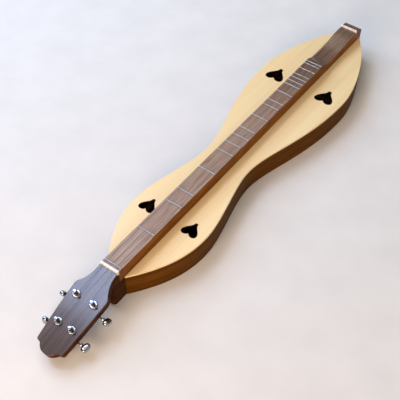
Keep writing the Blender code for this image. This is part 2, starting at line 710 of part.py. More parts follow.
def tuner_post(name, frame):
    """The post with its wheel: it stands in the housing's bearing and rises through the bushing."""
    top = HEAD_STACK + POST_HEIGHT
    high_waist = top - POST_WAIST_TOP
    low_waist = high_waist - POST_WAIST_LENGTH
    wheel_low = -WORM_DEPTH - WHEEL_WIDTH / 2
    foot = -HOUSING_DEPTH + GAP
    profile = [(0, top), (POST_RADIUS - POST_CHAMFER, top), (POST_RADIUS, top - POST_CHAMFER),
               (POST_RADIUS, high_waist), (POST_WAIST_RADIUS, high_waist - POST_WAIST_EASE),
               (POST_WAIST_RADIUS, low_waist + POST_WAIST_EASE), (POST_RADIUS, low_waist),
               (POST_RADIUS, wheel_low - GAP), (JOURNAL_RADIUS, wheel_low - GAP), (JOURNAL_RADIUS, foot),
               (0, foot)]
    post = turned(name + "_post", profile, False, 14, CHROME, frame)
    wheel = level_solid(name + "_wheel", [wheel_loop()], wheel_low, wheel_low + WHEEL_WIDTH)
    combine(post, place_tool(name + "_wheel", wheel, Matrix(), frame), "UNION")
    height = HEAD_STACK + STRING_HOLE_AT
    reach = POST_RADIUS + OVERCUT
    hole = rod(name + "_string_hole", STRING_HOLE_RADIUS, (-reach, 0, height), (reach, 0, height), 8)
    combine(post, place_tool(name + "_string_hole", hole, Matrix(), frame), "DIFFERENCE")


def tuner_bushing(name, frame):
    """The hexagonal bushing with its washer rim and the sleeve that lines the headstock's hole."""
    face = HEAD_STACK + GAP
    bore = POST_RADIUS + GAP
    rim = face + WASHER_THICKNESS
    top = rim + HEX_HEIGHT
    core = HEX_WIDTH / 2 - HEX_CHAMFER
    profile = [(core, top), (core, rim), (WASHER_RADIUS - HEX_CHAMFER, rim),
               (WASHER_RADIUS, rim - HEX_CHAMFER), (WASHER_RADIUS, face), (BUSHING_SLEEVE_RADIUS, face),
               (BUSHING_SLEEVE_RADIUS, SLEEVE_SHORT_OF_BACK), (bore, SLEEVE_SHORT_OF_BACK), (bore, top)]
    bushing = turned(name + "_bushing", profile, True, 14, CHROME, frame)
    ring = arc((0, 0), HEX_WIDTH / math.sqrt(3), 0, 300, 6)
    hollow = arc((0, 0), (bore + core) / 2, 0, 330, 12)
    sunk = HEX_CHAMFER / 2
    collar = level_solid(name + "_hex", [ring, hollow], rim - sunk, top - sunk)
    combine(bushing, place_tool(name + "_hex", collar, Matrix(), frame), "UNION")


def housing_plan(flank, reach, corner):
    """The housing's outline: round behind the wheel and straight along the worm."""
    half = [(reach - corner, flank), (reach, flank - corner)]
    return arc((0, 0), flank, 90, 270, 8) + [(x, -y) for x, y in half] + half[::-1]


def tuner_housing(name, frame):
    """An open-topped box under the headstock that holds the wheel and the worm."""
    reach = WORM_OFFSET + WORM_CREST_RADIUS + HOUSING_CLEARANCE
    shell = housing_plan(HOUSING_FLANK + HOUSING_WALL, reach + HOUSING_WALL, HOUSING_CORNER)
    outer = level_solid(name + "_housing", [shell], -HOUSING_DEPTH, -GAP)
    housing = place(name + "_housing", outer, CHROME, Matrix(), frame)
    hollow = housing_plan(HOUSING_FLANK, reach, HOUSING_CORNER / 2)
    cavity = level_solid(name + "_cavity", [hollow], HOUSING_WALL - HOUSING_DEPTH, OVERCUT)
    combine(housing, place_tool(name + "_cavity", cavity, Matrix(), frame), "DIFFERENCE")
    bearing = rod(name + "_bearing", JOURNAL_RADIUS + GAP, (0, 0, -HOUSING_DEPTH - OVERCUT), (0, 0, 0), 12)
    combine(housing, place_tool(name + "_bearing", bearing, Matrix(), frame), "DIFFERENCE")
    groove = WORM_SHAFT_RADIUS + GAP
    slot = arc((WORM_OFFSET, -WORM_DEPTH), groove, 180, 360, 7)
    slot += [(WORM_OFFSET + groove, OVERCUT), (WORM_OFFSET - groove, OVERCUT)]
    notch = upright_solid(name + "_notch", slot, 2 * (HOUSING_FLANK + HOUSING_WALL + OVERCUT))
    combine(housing, place_tool(name + "_notch", notch, Matrix(), frame), "DIFFERENCE")


def worm_mesh(name):
    """A right-handed thread: the radius follows the distance from the helix."""
    around = 10
    rings = int(WORM_LENGTH / WORM_LEAD * 5)
    mesh = bpy.data.meshes.new(name)
    shape = bmesh.new()
    loops = []
    for i in range(rings + 1):
        z = (i / rings - 0.5) * WORM_LENGTH
        loop = []
        for j in range(around):
            angle = 2 * math.pi * j / around
            phase = (z / WORM_LEAD - (angle - math.pi) / (2 * math.pi) + 0.5) % 1.0 - 0.5
            rise = min(max((THREAD_FOOT - abs(phase)) / THREAD_FLANK, 0.0), 1.0)
            if i in (0, rings):
                rise = 0.0
            radius = WORM_ROOT_RADIUS + (WORM_CREST_RADIUS - WORM_ROOT_RADIUS) * rise
            loop.append(shape.verts.new((radius * math.cos(angle), radius * math.sin(angle), z)))
        loops.append(loop)
    for low, high in zip(loops, loops[1:]):
        for j in range(around):
            k = (j + 1) % around
            shape.faces.new((low[j], low[k], high[k], high[j]))
    shape.faces.new(loops[0][::-1])
    shape.faces.new(loops[-1])
    bmesh.ops.recalc_face_normals(shape, faces=shape.faces)
    shape.to_mesh(mesh)
    shape.free()
    return mesh


def button_oval():
    """The button's broad face: an oval with slightly squared ends."""
    points = []
    for u, v in arc((0, 0), 1, 0, 340, 18):
        x = BUTTON_WIDTH / 2 * math.copysign(abs(u) ** BUTTON_SQUARENESS, u)
        z = BUTTON_LENGTH / 2 * math.copysign(abs(v) ** BUTTON_SQUARENESS, v)
        points.append((x, z + BUTTON_AT))
    return points


def tuner_button(name, frame, string):
    """The button on its worm shaft. Its own z is the shaft, pointing outwards."""
    turn = Matrix.Rotation(-string.side * math.pi / 2, 4, "X")
    matrix = Matrix.Translation((WORM_OFFSET, 0, -WORM_DEPTH)) @ turn
    button = place(name + "_button", worm_mesh(name + "_button"), CHROME, matrix, frame)
    inner = BUTTON_AT - BUTTON_LENGTH / 2
    sunk = inner + BUTTON_ROUNDING
    far_end = -HOUSING_FLANK - HOUSING_WALL
    shaft = rod(name + "_shaft", WORM_SHAFT_RADIUS, (0, 0, far_end), (0, 0, sunk), 12)
    combine(button, place_tool(name + "_shaft", shaft, matrix, frame), "UNION")
    collar_end = (0, 0, inner - BUTTON_COLLAR_LENGTH)
    collar = rod(name + "_collar", BUTTON_COLLAR_RADIUS, collar_end, (0, 0, sunk), 14)
    combine(button, place_tool(name + "_collar", collar, matrix, frame), "UNION")
    body = upright_solid(name + "_button_body", button_oval(), BUTTON_THICKNESS)
    turned_body = matrix @ Matrix.Rotation(string.button_turn, 4, "Z")
    tool = place_tool(name + "_button_body", body, turned_body, frame)
    soften = tool.modifiers.new("soften", "BEVEL")
    soften.width = BUTTON_ROUNDING
    soften.segments = BUTTON_ROUNDING_STEPS
    soften.limit_method = "ANGLE"
    soften.angle_limit = SHARP
    combine(button, tool, "UNION")


def tuners():
    for string in STRINGS:
        label = "tuner_" + string.name
        frame = bpy.data.objects.new(label + "_frame", None)
        PARTS.objects.link(frame)
        frame.parent = BENCH
        back = Matrix.Translation((string.post[0], string.side * string.post[1], -HEAD_STACK))
        frame.matrix_local = HEAD_FRAME @ back
        tuner_post(label, frame)
        tuner_bushing(label, frame)
        tuner_housing(label, frame)
        tuner_button(label, frame, string)


def over_zero_fret(string):
    return Vector((0, string.y_nut, FRETBOARD_TOP + 2 * GAP + FRET_CROWN_HEIGHT + string.radius))


def turn_point(string, angle, share):
    """A point of the winding, in the headstock's frame, at an angle and a share of the pitch up."""
    wrap = POST_RADIUS + GAP + string.radius
    height = FIRST_TURN + string.radius + (2 * string.radius + WINDING_GAP) * share
    return Vector((string.post[0] + wrap * math.cos(angle),
                   string.side * string.post[1] + wrap * math.sin(angle), height))


def first_angle(string):
    """The angle on its post at which the straight string meets it."""
    away = Vector((-string.post[0], -string.y_nut - string.side * string.post[1]))
    wrap = POST_RADIUS + GAP + string.radius
    return math.atan2(away.y, away.x) + string.side * math.acos(wrap / away.length)


def nut_exit(string):
    """Where the string leaves the nut: on the straight line down from the zero fret to its post."""
    zero = over_zero_fret(string)
    touch = HEAD_FRAME @ turn_point(string, first_angle(string), 0)
    return Vector((NUT_START, string.y_nut, zero.z + (touch.z - zero.z) * NUT_START / touch.x))


def string_points(string):
    """The route of one string: ball, bridge, zero fret, nut slot and the turns round its post."""
    leave, ball = string_line(string)
    along = (leave - ball).normalized()
    half = BALL_LENGTH / 2
    route = [(ball - along * half, BALL_RADIUS), (ball + along * half, BALL_RADIUS),
             (ball + along * (half + BALL_SHOULDER), string.radius)]
    bridge_front = leave - Vector((BRIDGE_THICKNESS, 0, 0))
    straight = [leave, bridge_front, over_zero_fret(string), nut_exit(string)]
    begin = first_angle(string)
    turns = []
    for i in range(WINDING_TURNS * WINDING_POINTS + 1):
        share = i / WINDING_POINTS
        turns.append(turn_point(string, begin + string.side * 2 * math.pi * share, share))
    last = turns[-1] + (turns[-1] - turns[-2]).normalized() * WINDING_TAIL
    route += [(point, string.radius) for point in straight]
    route += [(HEAD_FRAME @ point, string.radius) for point in turns + [last]]
    return route, turns


def least_gap(turns, radius):
    """Smallest clear distance between points that are more than half a turn apart."""
    least = 1.0
    for i, point in enumerate(turns):
        for other in turns[i + WINDING_POINTS // 2:]:
            least = min(least, (point - other).length - 2 * radius)
    return least


def strings():
    for string in STRINGS:
        route, turns = string_points(string)
        gap = least_gap(turns, string.radius)
        print("string", string.name, "least gap between turns in mm:", round(gap * 1000, 3))
        curve = bpy.data.curves.new("string_" + string.name, "CURVE")
        curve.dimensions = "3D"
        curve.bevel_depth = 1.0
        curve.bevel_resolution = 1
        curve.use_fill_caps = True
        curve.twist_mode = "MINIMUM"
        spline = curve.splines.new("POLY")
        spline.points.add(len(route) - 1)
        for point, (place_at, thickness) in zip(spline.points, route):
            point.co = (*place_at, 1)
            point.radius = thickness
        finish = BRONZE if string.name == "bass" else STEEL
        place("string_" + string.name, curve_to_mesh(curve), finish)


def build():
    soundbox()
    braces()
    head_block()
    tail_block()
    fretboard()
    frets()
    nut()
    bridge()
    headstock()
    tuners()
    strings()
    for piece in PARTS.objects:
        if piece.type == "MESH" and piece.name.startswith("tuner_"):
            shade_round(piece)


build()
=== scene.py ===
# The dulcimer's looks: woods, bone and metals on finely modelled pieces, a pale floor and soft light.
# Everything is in metres. x runs to the tail, y to the bass string, z up from the floor.

import json
import math

import bmesh
import bpy
from mathutils import Matrix, Vector


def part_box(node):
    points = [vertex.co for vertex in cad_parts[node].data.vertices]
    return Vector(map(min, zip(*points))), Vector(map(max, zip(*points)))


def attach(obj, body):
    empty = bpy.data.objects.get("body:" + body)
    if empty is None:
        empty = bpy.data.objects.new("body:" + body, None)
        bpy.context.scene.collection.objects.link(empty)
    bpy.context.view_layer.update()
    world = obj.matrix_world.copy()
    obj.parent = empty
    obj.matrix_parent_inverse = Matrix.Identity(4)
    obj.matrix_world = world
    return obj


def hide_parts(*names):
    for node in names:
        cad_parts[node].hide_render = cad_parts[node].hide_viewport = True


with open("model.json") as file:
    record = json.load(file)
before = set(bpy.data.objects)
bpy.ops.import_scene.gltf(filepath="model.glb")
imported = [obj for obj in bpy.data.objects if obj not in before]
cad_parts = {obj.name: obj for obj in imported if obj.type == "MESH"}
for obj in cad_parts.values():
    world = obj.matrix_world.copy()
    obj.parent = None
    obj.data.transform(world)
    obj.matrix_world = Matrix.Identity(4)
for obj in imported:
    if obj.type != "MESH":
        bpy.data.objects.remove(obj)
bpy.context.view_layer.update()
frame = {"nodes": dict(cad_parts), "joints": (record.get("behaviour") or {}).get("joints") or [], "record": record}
JOINTS = {joint["name"]: joint for joint in frame["joints"]}

MM = 0.001

# The camera of the photograph, solved from the places of the frets
CAMERA_AT = (-0.7685, -0.4936, 0.9931)
CAMERA_RIGHT = (0.5898, -0.8074, 0.0150)
CAMERA_UP = (0.6023, 0.4522, 0.6579)
CAMERA_LENS = 72.08
SENSOR = 36.0
FLOOR_SIZE = 8.0

# How close points are made one, how level a face is to count as flat, and which edges stay sharp
JOIN = 0.01 * MM
FLAT = math.radians(0.5)
SHARP = math.radians(38)
CRISP = math.radians(20)
# A loop's corner stays a corner above this turn; a stretch this many times its neighbour is straight
CORNER = math.radians(50)
STRAIGHT = 3.0
# The flat that is left beside a rounded edge, as a share of its radius, so that shading stays even
SUPPORT = 1.8
# The vertex attribute that marks the walls of holes, which the spruce finish paints near-black as painted shade
HOLE_SHADE_MARK = "hole_wall"

# The headstock's frame, from the axis and the place of one post
POST_AXIS = Vector(JOINTS["bass_post_spin"]["axis"])
POST_PLACE = Vector(JOINTS["bass_post_spin"]["pos_m"])
HEAD_TILT = math.atan2(-POST_AXIS.x, POST_AXIS.z)
HEAD_ALONG = Vector((-POST_AXIS.z, 0, POST_AXIS.x))
HEAD_TURN = Matrix((HEAD_ALONG, (0, -1, 0), POST_AXIS)).transposed().to_4x4()
HEAD_FRAME = Matrix.Translation((POST_PLACE.x, 0, POST_PLACE.z)) @ HEAD_TURN
HEAD_STACK = 13.6 * MM

# Frets
FRETS = [n for n in frame["nodes"] if "fret_" in n or n == "zero_fret"]
FRET_CROWN = 1.0 * MM
FRET_TANG = 0.3 * MM
FRET_END_ANGLE = math.radians(35)
TANG_BACK = 0.8 * MM
SLOT_EASE = 0.12 * MM

# Tuners, with heights from the headstock's face and along a button's shaft
TUNERS = {"bass": (-1, 72), "middle": (-1, -73), "melody_inner": (1, -16), "melody_outer": (1, -41)}
POST_RADIUS = 3.0 * MM
POST_WAIST = 2.6 * MM
POST_TOP = 12.8 * MM
POST_ROUND = 0.9 * MM
WAIST_HIGH = 9.8 * MM
WAIST_LOW = 4.3 * MM
WAIST_EASE = 1.6 * MM
STRING_HOLE = 0.8 * MM
STRING_HOLE_AT = 8.0 * MM
BORE = 3.3 * MM
SLEEVE = 4.0 * MM
SLEEVE_FOOT = -8.7 * MM
WASHER = 6.3 * MM
WASHER_LOW = 0.3 * MM
WASHER_HIGH = 1.3 * MM
HEX_ACROSS = 10.0 * MM
HEX_HIGH = 3.1 * MM
SHAFT_CUT = 8.0 * MM
SHAFT = 1.4 * MM
COLLAR = 2.8 * MM
COLLAR_FROM = 16.4 * MM
BUTTON_AT = 25.0 * MM
BUTTON_WIDE = 15.8 * MM
BUTTON_LONG = 11.2 * MM
BUTTON_THICK = 8.0 * MM
# How full the button is, seen on its broad face and across it (1 is round, 0 is square)
BUTTON_FACE = 0.8
BUTTON_SECTION = (0.62, 0.85)


def shade(hex_colour):
    """An sRGB hex value as the linear colour that a shader takes."""
    parts = [int(hex_colour[i:i + 2], 16) / 255 for i in (1, 3, 5)]
    linear = [c / 12.92 if c <= 0.04045 else ((c + 0.055) / 1.055) ** 2.4 for c in parts]
    return (*linear, 1.0)


def new_finish(name):
    """An empty material with a Principled shader on its output."""
    finish = bpy.data.materials.new(name)
    finish.use_nodes = True
    tree = finish.node_tree
    tree.nodes.clear()
    out = tree.nodes.new("ShaderNodeOutputMaterial")
    skin = tree.nodes.new("ShaderNodeBsdfPrincipled")
    tree.links.new(skin.outputs["BSDF"], out.inputs["Surface"])
    return finish, tree, skin


def node(tree, kind, inputs=None, **settings):
    """Add a node, set its options, and give its sockets values or links."""
    made = tree.nodes.new("ShaderNode" + kind)
    for key, value in settings.items():
        setattr(made, key, value)
    for key, value in (inputs or {}).items():
        if isinstance(value, bpy.types.NodeSocket):
            tree.links.new(value, made.inputs[key])
        else:
            made.inputs[key].default_value = value
    return made


def ramp(tree, factor, stops):
    """A colour ramp from (place, hex) stops."""
    made = node(tree, "ValToRGB", {"Fac": factor})
    band = made.color_ramp
    band.elements[0].position, band.elements[0].color = stops[0][0], shade(stops[0][1])
    band.elements[1].position, band.elements[1].color = stops[-1][0], shade(stops[-1][1])
    for place, colour in stops[1:-1]:
        band.elements.new(place).color = shade(colour)
    return made.outputs["Color"]


def stretched(tree, millimetres, tilt=0.0):
    """Object coordinates, turned to the grain, in units of the given lengths along x, y and z."""
    where = node(tree, "TexCoord").outputs["Object"]
    turned = node(tree, "Mapping", {"Vector": where, "Rotation": (0, tilt, 0)})
    scale = [1 / (m * MM) for m in millimetres]
    return node(tree, "Mapping", {"Vector": turned.outputs["Vector"], "Scale": scale}).outputs["Vector"]


def noise(tree, millimetres, detail=3.0, tilt=0.0, distortion=0.0):
    where = stretched(tree, millimetres, tilt)
    return node(tree, "TexNoise", {"Vector": where, "Scale": 1.0, "Detail": detail,
                                   "Distortion": distortion}).outputs["Fac"]


def blended(tree, share, first, second):
    return node(tree, "Mix", {"Factor": share, "A": first, "B": second}).outputs["Result"]


def tinted(tree, share, first, second):
    """One colour turning into another."""
    return node(tree, "Mix", {0: share, 6: first, 7: second}, data_type="RGBA").outputs[2]


def set_skin(skin, **values):
    for key, value in values.items():
        skin.inputs[key.replace("_", " ")].default_value = value


def bumped(tree, skin, height, distance):
    bump = node(tree, "Bump", {"Height": height, "Distance": distance})
    tree.links.new(bump.outputs["Normal"], skin.inputs["Normal"])


def uneven_gloss(tree, skin, low, high):
    """Roughness that wanders where hands and cloths have rubbed."""
    marks = noise(tree, (35, 25, 25))
    rough = node(tree, "MapRange", {"Value": marks, "From Min": 0.3, "From Max": 0.7, "To Min": low,
                                    "To Max": high})
    tree.links.new(rough.outputs["Result"], skin.inputs["Roughness"])


def spruce_soundboard():
    """Quarter-sawn spruce under clear satin lacquer: fine straight rings, and hole walls painted near-black as
    painted shade inside the holes.
    """
    finish, tree, skin = new_finish("quarter_sawn_spruce")
    rings = noise(tree, (700, 0.9, 700), 2.0)
    bands = noise(tree, (420, 16, 200), 2.0)
    colour = ramp(tree, blended(tree, 0.5, rings, bands), ((0.3, "#F2D198"), (0.5, "#F9DFA8"), (0.7, "#FCE8BB")))
    # Painted shade: the marked hole walls are tinted near-black, so the heart holes read dark.
    wall = node(tree, "Attribute", attribute_name=HOLE_SHADE_MARK).outputs["Fac"]
    tree.links.new(tinted(tree, wall, colour, shade("#1E1006")), skin.inputs["Base Color"])
    uneven_gloss(tree, skin, 0.36, 0.46)
    set_skin(skin, Coat_Weight=0.3, Coat_Roughness=0.2)
    bumped(tree, skin, noise(tree, (9, 0.5, 0.5), 2.0), 0.00002)
    return finish


def dark_wood(name, dark, middle, light, figure=(170, 9, 9), wild=1.0, tilt=0.0, gloss=(0.4, 0.5),
              shine=0.5, coat=(0.0, 0.2), bent=False):
    """Dark hardwood: long streaks of pigment, finer ones between, and short open pores.

    In bent wood the streaks follow the bend, so they are as long across the instrument as along it.
    """
    finish, tree, skin = new_finish(name)
    broad = noise(tree, figure, 4.0, tilt, wild)
    fine = noise(tree, (34, 34 if bent else 1.1, 1.1), 3.0, tilt)
    colour = ramp(tree, blended(tree, 0.35, broad, fine), ((0.36, dark), (0.5, middle), (0.63, light)))
    tree.links.new(colour, skin.inputs["Base Color"])
    pores = noise(tree, (5, 5 if bent else 0.3, 0.3), 2.0, tilt)
    open_pores = node(tree, "MapRange", {"Value": pores, "From Min": 0.3, "From Max": 0.42})
    bumped(tree, skin, open_pores.outputs["Result"], 0.000012)
    uneven_gloss(tree, skin, *gloss)
    set_skin(skin, Specular_IOR_Level=shine, Coat_Weight=coat[0], Coat_Roughness=coat[1])
    return finish


def rosewood_with_painted_sheen():
    """Rosewood whose top is painted paler and greyer than its sides as painted sheen, palest toward the head; past
    the last frets and down the sides it stays dark.
    """
    finish, tree, skin = new_finish("indian_rosewood")
    figure = blended(tree, 0.35, noise(tree, (110, 5, 30), 4.0, 0.0, 2.0), noise(tree, (30, 1.4, 1.4)))
    painted_sheen_top = ramp(tree, figure, ((0.34, "#754E3C"), (0.5, "#917564"), (0.64, "#A3897A")))
    dark = ramp(tree, figure, ((0.34, "#5B4232"), (0.5, "#725847"), (0.64, "#856C5B")))
    side = ramp(tree, figure, ((0.36, "#6D3C06"), (0.5, "#824B06"), (0.63, "#9B5A0C")))
    # Painted sheen: along the top the colour turns from the paler, greyer ramp toward the head to the darker ramp
    # toward the tail.
    place = node(tree, "SeparateXYZ", {"Vector": node(tree, "TexCoord").outputs["Object"]}).outputs["X"]
    painted_sheen_share = node(tree, "MapRange", {"Value": place, "From Min": 0.12, "From Max": 0.27}).outputs["Result"]
    # Painted sheen: faces that point up take the paler, greyer top colours, and the sides keep the orange-brown
    # ramp.
    up = node(tree, "SeparateXYZ", {"Vector": node(tree, "NewGeometry").outputs["Normal"]}).outputs["Z"]
    top = node(tree, "MapRange", {"Value": up, "From Min": 0.5, "From Max": 0.9}).outputs["Result"]
    colour = tinted(tree, top, side, tinted(tree, painted_sheen_share, painted_sheen_top, dark))
    tree.links.new(colour, skin.inputs["Base Color"])
    tree.links.new(top, skin.inputs["Coat Weight"])
    pores = node(tree, "MapRange", {"Value": noise(tree, (5, 0.3, 0.3), 2.0), "From Min": 0.3, "From Max": 0.42})
    bumped(tree, skin, pores.outputs["Result"], 0.000012)
    uneven_gloss(tree, skin, 0.45, 0.5)
    set_skin(skin, Specular_IOR_Level=0.15, Coat_Roughness=0.22)
    return finish


def bone():
    """Polished cattle bone: warm white with faint lengthwise flecks."""
    finish, tree, skin = new_finish("polished_bone")
    colour = ramp(tree, noise(tree, (0.8, 6, 2)), ((0.35, "#EFECEA"), (0.6, "#FAF8F7")))
    tree.links.new(colour, skin.inputs["Base Color"])
    uneven_gloss(tree, skin, 0.2, 0.3)
    set_skin(skin, Coat_Weight=0.2, Coat_Roughness=0.1, Subsurface_Weight=0.1, Subsurface_Scale=0.001)
    return finish


def metal(name, colour, gloss, lines=(40, 0.12, 0.12), depth=0.000003):
    """A metal whose polish wanders a little, with fine drawn lines."""
    finish, tree, skin = new_finish(name)
    skin.inputs["Base Color"].default_value = shade(colour)
    skin.inputs["Metallic"].default_value = 1.0
    uneven_gloss(tree, skin, *gloss)
    bumped(tree, skin, noise(tree, lines, 2.0), depth)
    return finish


FINISHES = {
    "soundboard_spruce": spruce_soundboard(),
    "body_walnut": dark_wood("american_walnut", "#492C02", "#5B3402", "#6E4204", (170, 170, 7), 0.6, shine=0.04,
                             bent=True),
    "head_wood": dark_wood("red_brown_walnut", "#311404", "#412006", "#5A2F0D", (150, 10, 10), 1.0, HEAD_TILT,
                           shine=0.04),
    "veneer_rosewood": dark_wood("rosewood_veneer", "#291B14", "#402D25", "#543E35", (330, 4.0, 4.0), 0.5,
                                 HEAD_TILT, shine=0.1, coat=(1.0, 0.15)),
    "fretboard_rosewood": rosewood_with_painted_sheen(),
    "inner_wood": dark_wood("bare_basswood", "#D6AA7E", "#E0B58B", "#E8BF97", gloss=(0.65, 0.75), shine=0.3),
    "bone": bone(),
    "fret_nickel_silver": metal("nickel_silver_fret_wire", "#B3B4B6", (0.26, 0.34)),
    "tuner_chrome": metal("chrome_plate", "#A8ABB2", (0.05, 0.1), depth=0.000001),
    "string_steel": metal("plain_music_wire", "#62605F", (0.34, 0.42)),
    "string_bronze": metal("bronze_wound_wire", "#7A634C", (0.38, 0.46), (0.25, 4, 4), 0.00003),
}


def dress_cad_nodes():
    """Every CAD node takes the finish of its slot in the record."""
    for entry in frame["record"]["subparts"]:
        mesh = frame["nodes"][entry["node"]].data
        mesh.materials.clear()
        mesh.materials.append(FINISHES[entry["material_slot"]])


SLOTS = {entry["node"]: entry["material_slot"] for entry in frame["record"]["subparts"]}


def joined(cad_node, into=Matrix()):
    """A copy of a CAD node's surface with its triangles joined, seen in another frame."""
    shape = bmesh.new()
    shape.from_mesh(frame["nodes"][cad_node].data)
    bmesh.ops.remove_doubles(shape, verts=shape.verts, dist=JOIN)
    bmesh.ops.transform(shape, matrix=into, verts=shape.verts)
    shape.normal_update()
    return shape


def add_piece(name, shape, like, stands_for=True, body="instrument", place=Matrix(), sharp=SHARP):
    """Turn a shape into a piece that has a CAD node's finish and, unless told otherwise, takes its place."""
    bmesh.ops.transform(shape, matrix=place, verts=shape.verts)
    bmesh.ops.recalc_face_normals(shape, faces=shape.faces)
    mesh = bpy.data.meshes.new(name)
    shape.to_mesh(mesh)
    shape.free()
    mesh.shade_smooth()
    mesh.set_sharp_from_angle(angle=sharp)
    mesh.materials.append(FINISHES[SLOTS[like]])
    piece = bpy.data.objects.new(name, mesh)
    bpy.context.scene.collection.objects.link(piece)
    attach(piece, body)
    if stands_for:
        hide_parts(like)
    return piece


def rim_loops(cad_node, into):
    """The closed edges of a CAD solid's flat upper face, outermost first, with the solid's two heights."""
    shape = joined(cad_node, into)
    heights = [v.co.z for v in shape.verts]
    low, high = min(heights), max(heights)
    shape.verts.index_update()
    flat = {f for f in shape.faces if f.normal.z > 0.999 and f.verts[0].co.z > high - JOIN}
    beside = {}
    for edge in shape.edges:
        if sum(face in flat for face in edge.link_faces) == 1:
            for a, b in (edge.verts, reversed(edge.verts)):
                beside.setdefault(a.index, []).append(b.index)
    shape.verts.ensure_lookup_table()
    loops = []
    while beside:
        start = next(iter(beside))
        walk = [start, beside[start][0]]
        while walk[-1] != start:
            walk.append(next(i for i in beside[walk[-1]] if i != walk[-2]))
        for index in walk[:-1]:
            del beside[index]
        loops.append([shape.verts[i].co.xy.copy() for i in walk[:-1]])
    shape.free()
    loops.sort(key=lambda loop: -abs(area(loop)))
    turned = [loop if (area(loop) > 0) == (i == 0) else loop[::-1] for i, loop in enumerate(loops)]
    return turned, low, high


def area(loop):
    return sum(a.cross(b) for a, b in zip(loop, loop[1:] + loop[:1])) / 2


def refined(loop, parts):
    """The same closed loop with more points: its corners and straight stretches stay as they are."""
    count = len(loop)
    steps = [loop[(i + 1) % count] - loop[i] for i in range(count)]
    leans = []
    for i, after in enumerate(steps):
        before = steps[i - 1]
        if before.angle(after) > CORNER:
            leans.append(None)
        elif before.length > STRAIGHT * after.length:
            leans.append(before.normalized())
        elif after.length > STRAIGHT * before.length:
            leans.append(after.normalized())
        else:
            mix = before.normalized() * after.length + after.normalized() * before.length
            leans.append(mix.normalized())
    points = []
    for i, step in enumerate(steps):
        leave = (leans[i] or step.normalized()) * step.length
        arrive = (leans[(i + 1) % count] or step.normalized()) * step.length
        for k in range(parts):
            t = k / parts
            ease = t * t * (3 - 2 * t)
            points.append(loop[i] + step * ease + leave * t * (1 - t) ** 2 - arrive * t * t * (1 - t))
    return points


def inset(loop, distance):
    """The loop moved to its left, into the material, with mitred corners."""
    moved = []
    for i, point in enumerate(loop):
        before = (point - loop[i - 1]).normalized()
        after = (loop[(i + 1) % len(loop)] - point).normalized()
        middle = before + after
        reach = distance / max(middle.length / 2, 0.5)
        moved.append(point + Vector((-middle.y, middle.x)).normalized() * reach)
    return moved


def edge_profile(low, high, top_round, low_round, steps=3):
    """Insets and heights down a plate's edge: a rounded rim, the wall, and a rounded foot."""
    profile = [(SUPPORT * top_round, high)]
    for i in range(steps + 1):
        a = math.pi / 2 * i / steps
        profile.append((top_round * (1 - math.sin(a)), high - top_round * (1 - math.cos(a))))
    if high - low > 2 * SUPPORT * (top_round + low_round):
        profile += [(0, high - SUPPORT * top_round), (0, low + SUPPORT * low_round)]
    for i in range(steps + 1):
        a = math.pi / 2 * (1 - i / steps)
        profile.append((low_round * (1 - math.sin(a)), low + low_round * (1 - math.cos(a))))
    return profile + [(SUPPORT * low_round, low)]


def plate(loops, profiles):
    """A flat piece inside the first loop, with the others as holes, and a profile down each loop's edge.

    The holes' walls are marked, so that a finish can paint shade on them.
    """
    shape = bmesh.new()
    mark = shape.verts.layers.float.new(HOLE_SHADE_MARK)
    ends = ([], [])
    for number, (loop, profile) in enumerate(zip(loops, profiles)):
        rings = [[shape.verts.new((*p, height)) for p in inset(loop, by)] for by, height in profile]
        # The edge rings of holes (not the outer edge) get the mark for the painted shade on hole walls.
        for ring in rings[1:-1]:
            for vert in ring:
                vert[mark] = min(number, 1)
        after = list(range(1, len(loop))) + [0]
        for upper, lower in zip(rings, rings[1:]):
            for i, j in enumerate(after):
                shape.faces.new((upper[i], lower[i], lower[j], upper[j]))
        for end, ring in zip(ends, (rings[0], rings[-1])):
            end += [shape.edges.get((ring[i], ring[j])) for i, j in enumerate(after)]
    for end, normal in zip(ends, ((0, 0, 1), (0, 0, -1))):
        bmesh.ops.triangle_fill(shape, use_beauty=True, edges=end, normal=normal)
    return shape


def plate_like(cad_node, top_round, low_round, rim_round, frame_in=Matrix(), parts=3):
    """A finer version of a flat CAD solid: smoother curves and rounded edges."""
    loops, low, high = rim_loops(cad_node, frame_in.inverted())
    profiles = [edge_profile(low, high, top_round, low_round)]
    profiles += [edge_profile(low, high, rim_round, rim_round)] * (len(loops) - 1)
    return plate([refined(loop, parts) for loop in loops], profiles)


def soundbox():
    """Plates and sides with eased edges; the heart holes' rims are softly rounded."""
    add_piece("soundboard_fine", plate_like("soundboard", 0.8 * MM, 0.2 * MM, 0.45 * MM), "soundboard")
    add_piece("back_fine", plate_like("back", 0.2 * MM, 0.8 * MM, 0.2 * MM), "back")
    for side in ("side_bass", "side_treble"):
        add_piece(side + "_fine", plate_like(side, 0.15 * MM, 0.15 * MM, 0.1 * MM), side)


def headstock():
    """The slab and its veneer, with crisp edges where they meet and rounded ones outside."""
    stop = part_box("headstock")[1].x
    for name, top_round, low_round in (("headstock_veneer", 0.4 * MM, 0.1 * MM), ("headstock", 0.1 * MM, 1.2 * MM)):
        shape = plate_like(name, top_round, low_round, 0.1 * MM, HEAD_FRAME, 2)
        bmesh.ops.transform(shape, matrix=HEAD_FRAME, verts=shape.verts)
        for vert in shape.verts:
            if vert.co.x > stop:
                vert.co -= HEAD_ALONG * ((vert.co.x - stop) / HEAD_ALONG.x)
        add_piece(name + "_fine", shape, name)


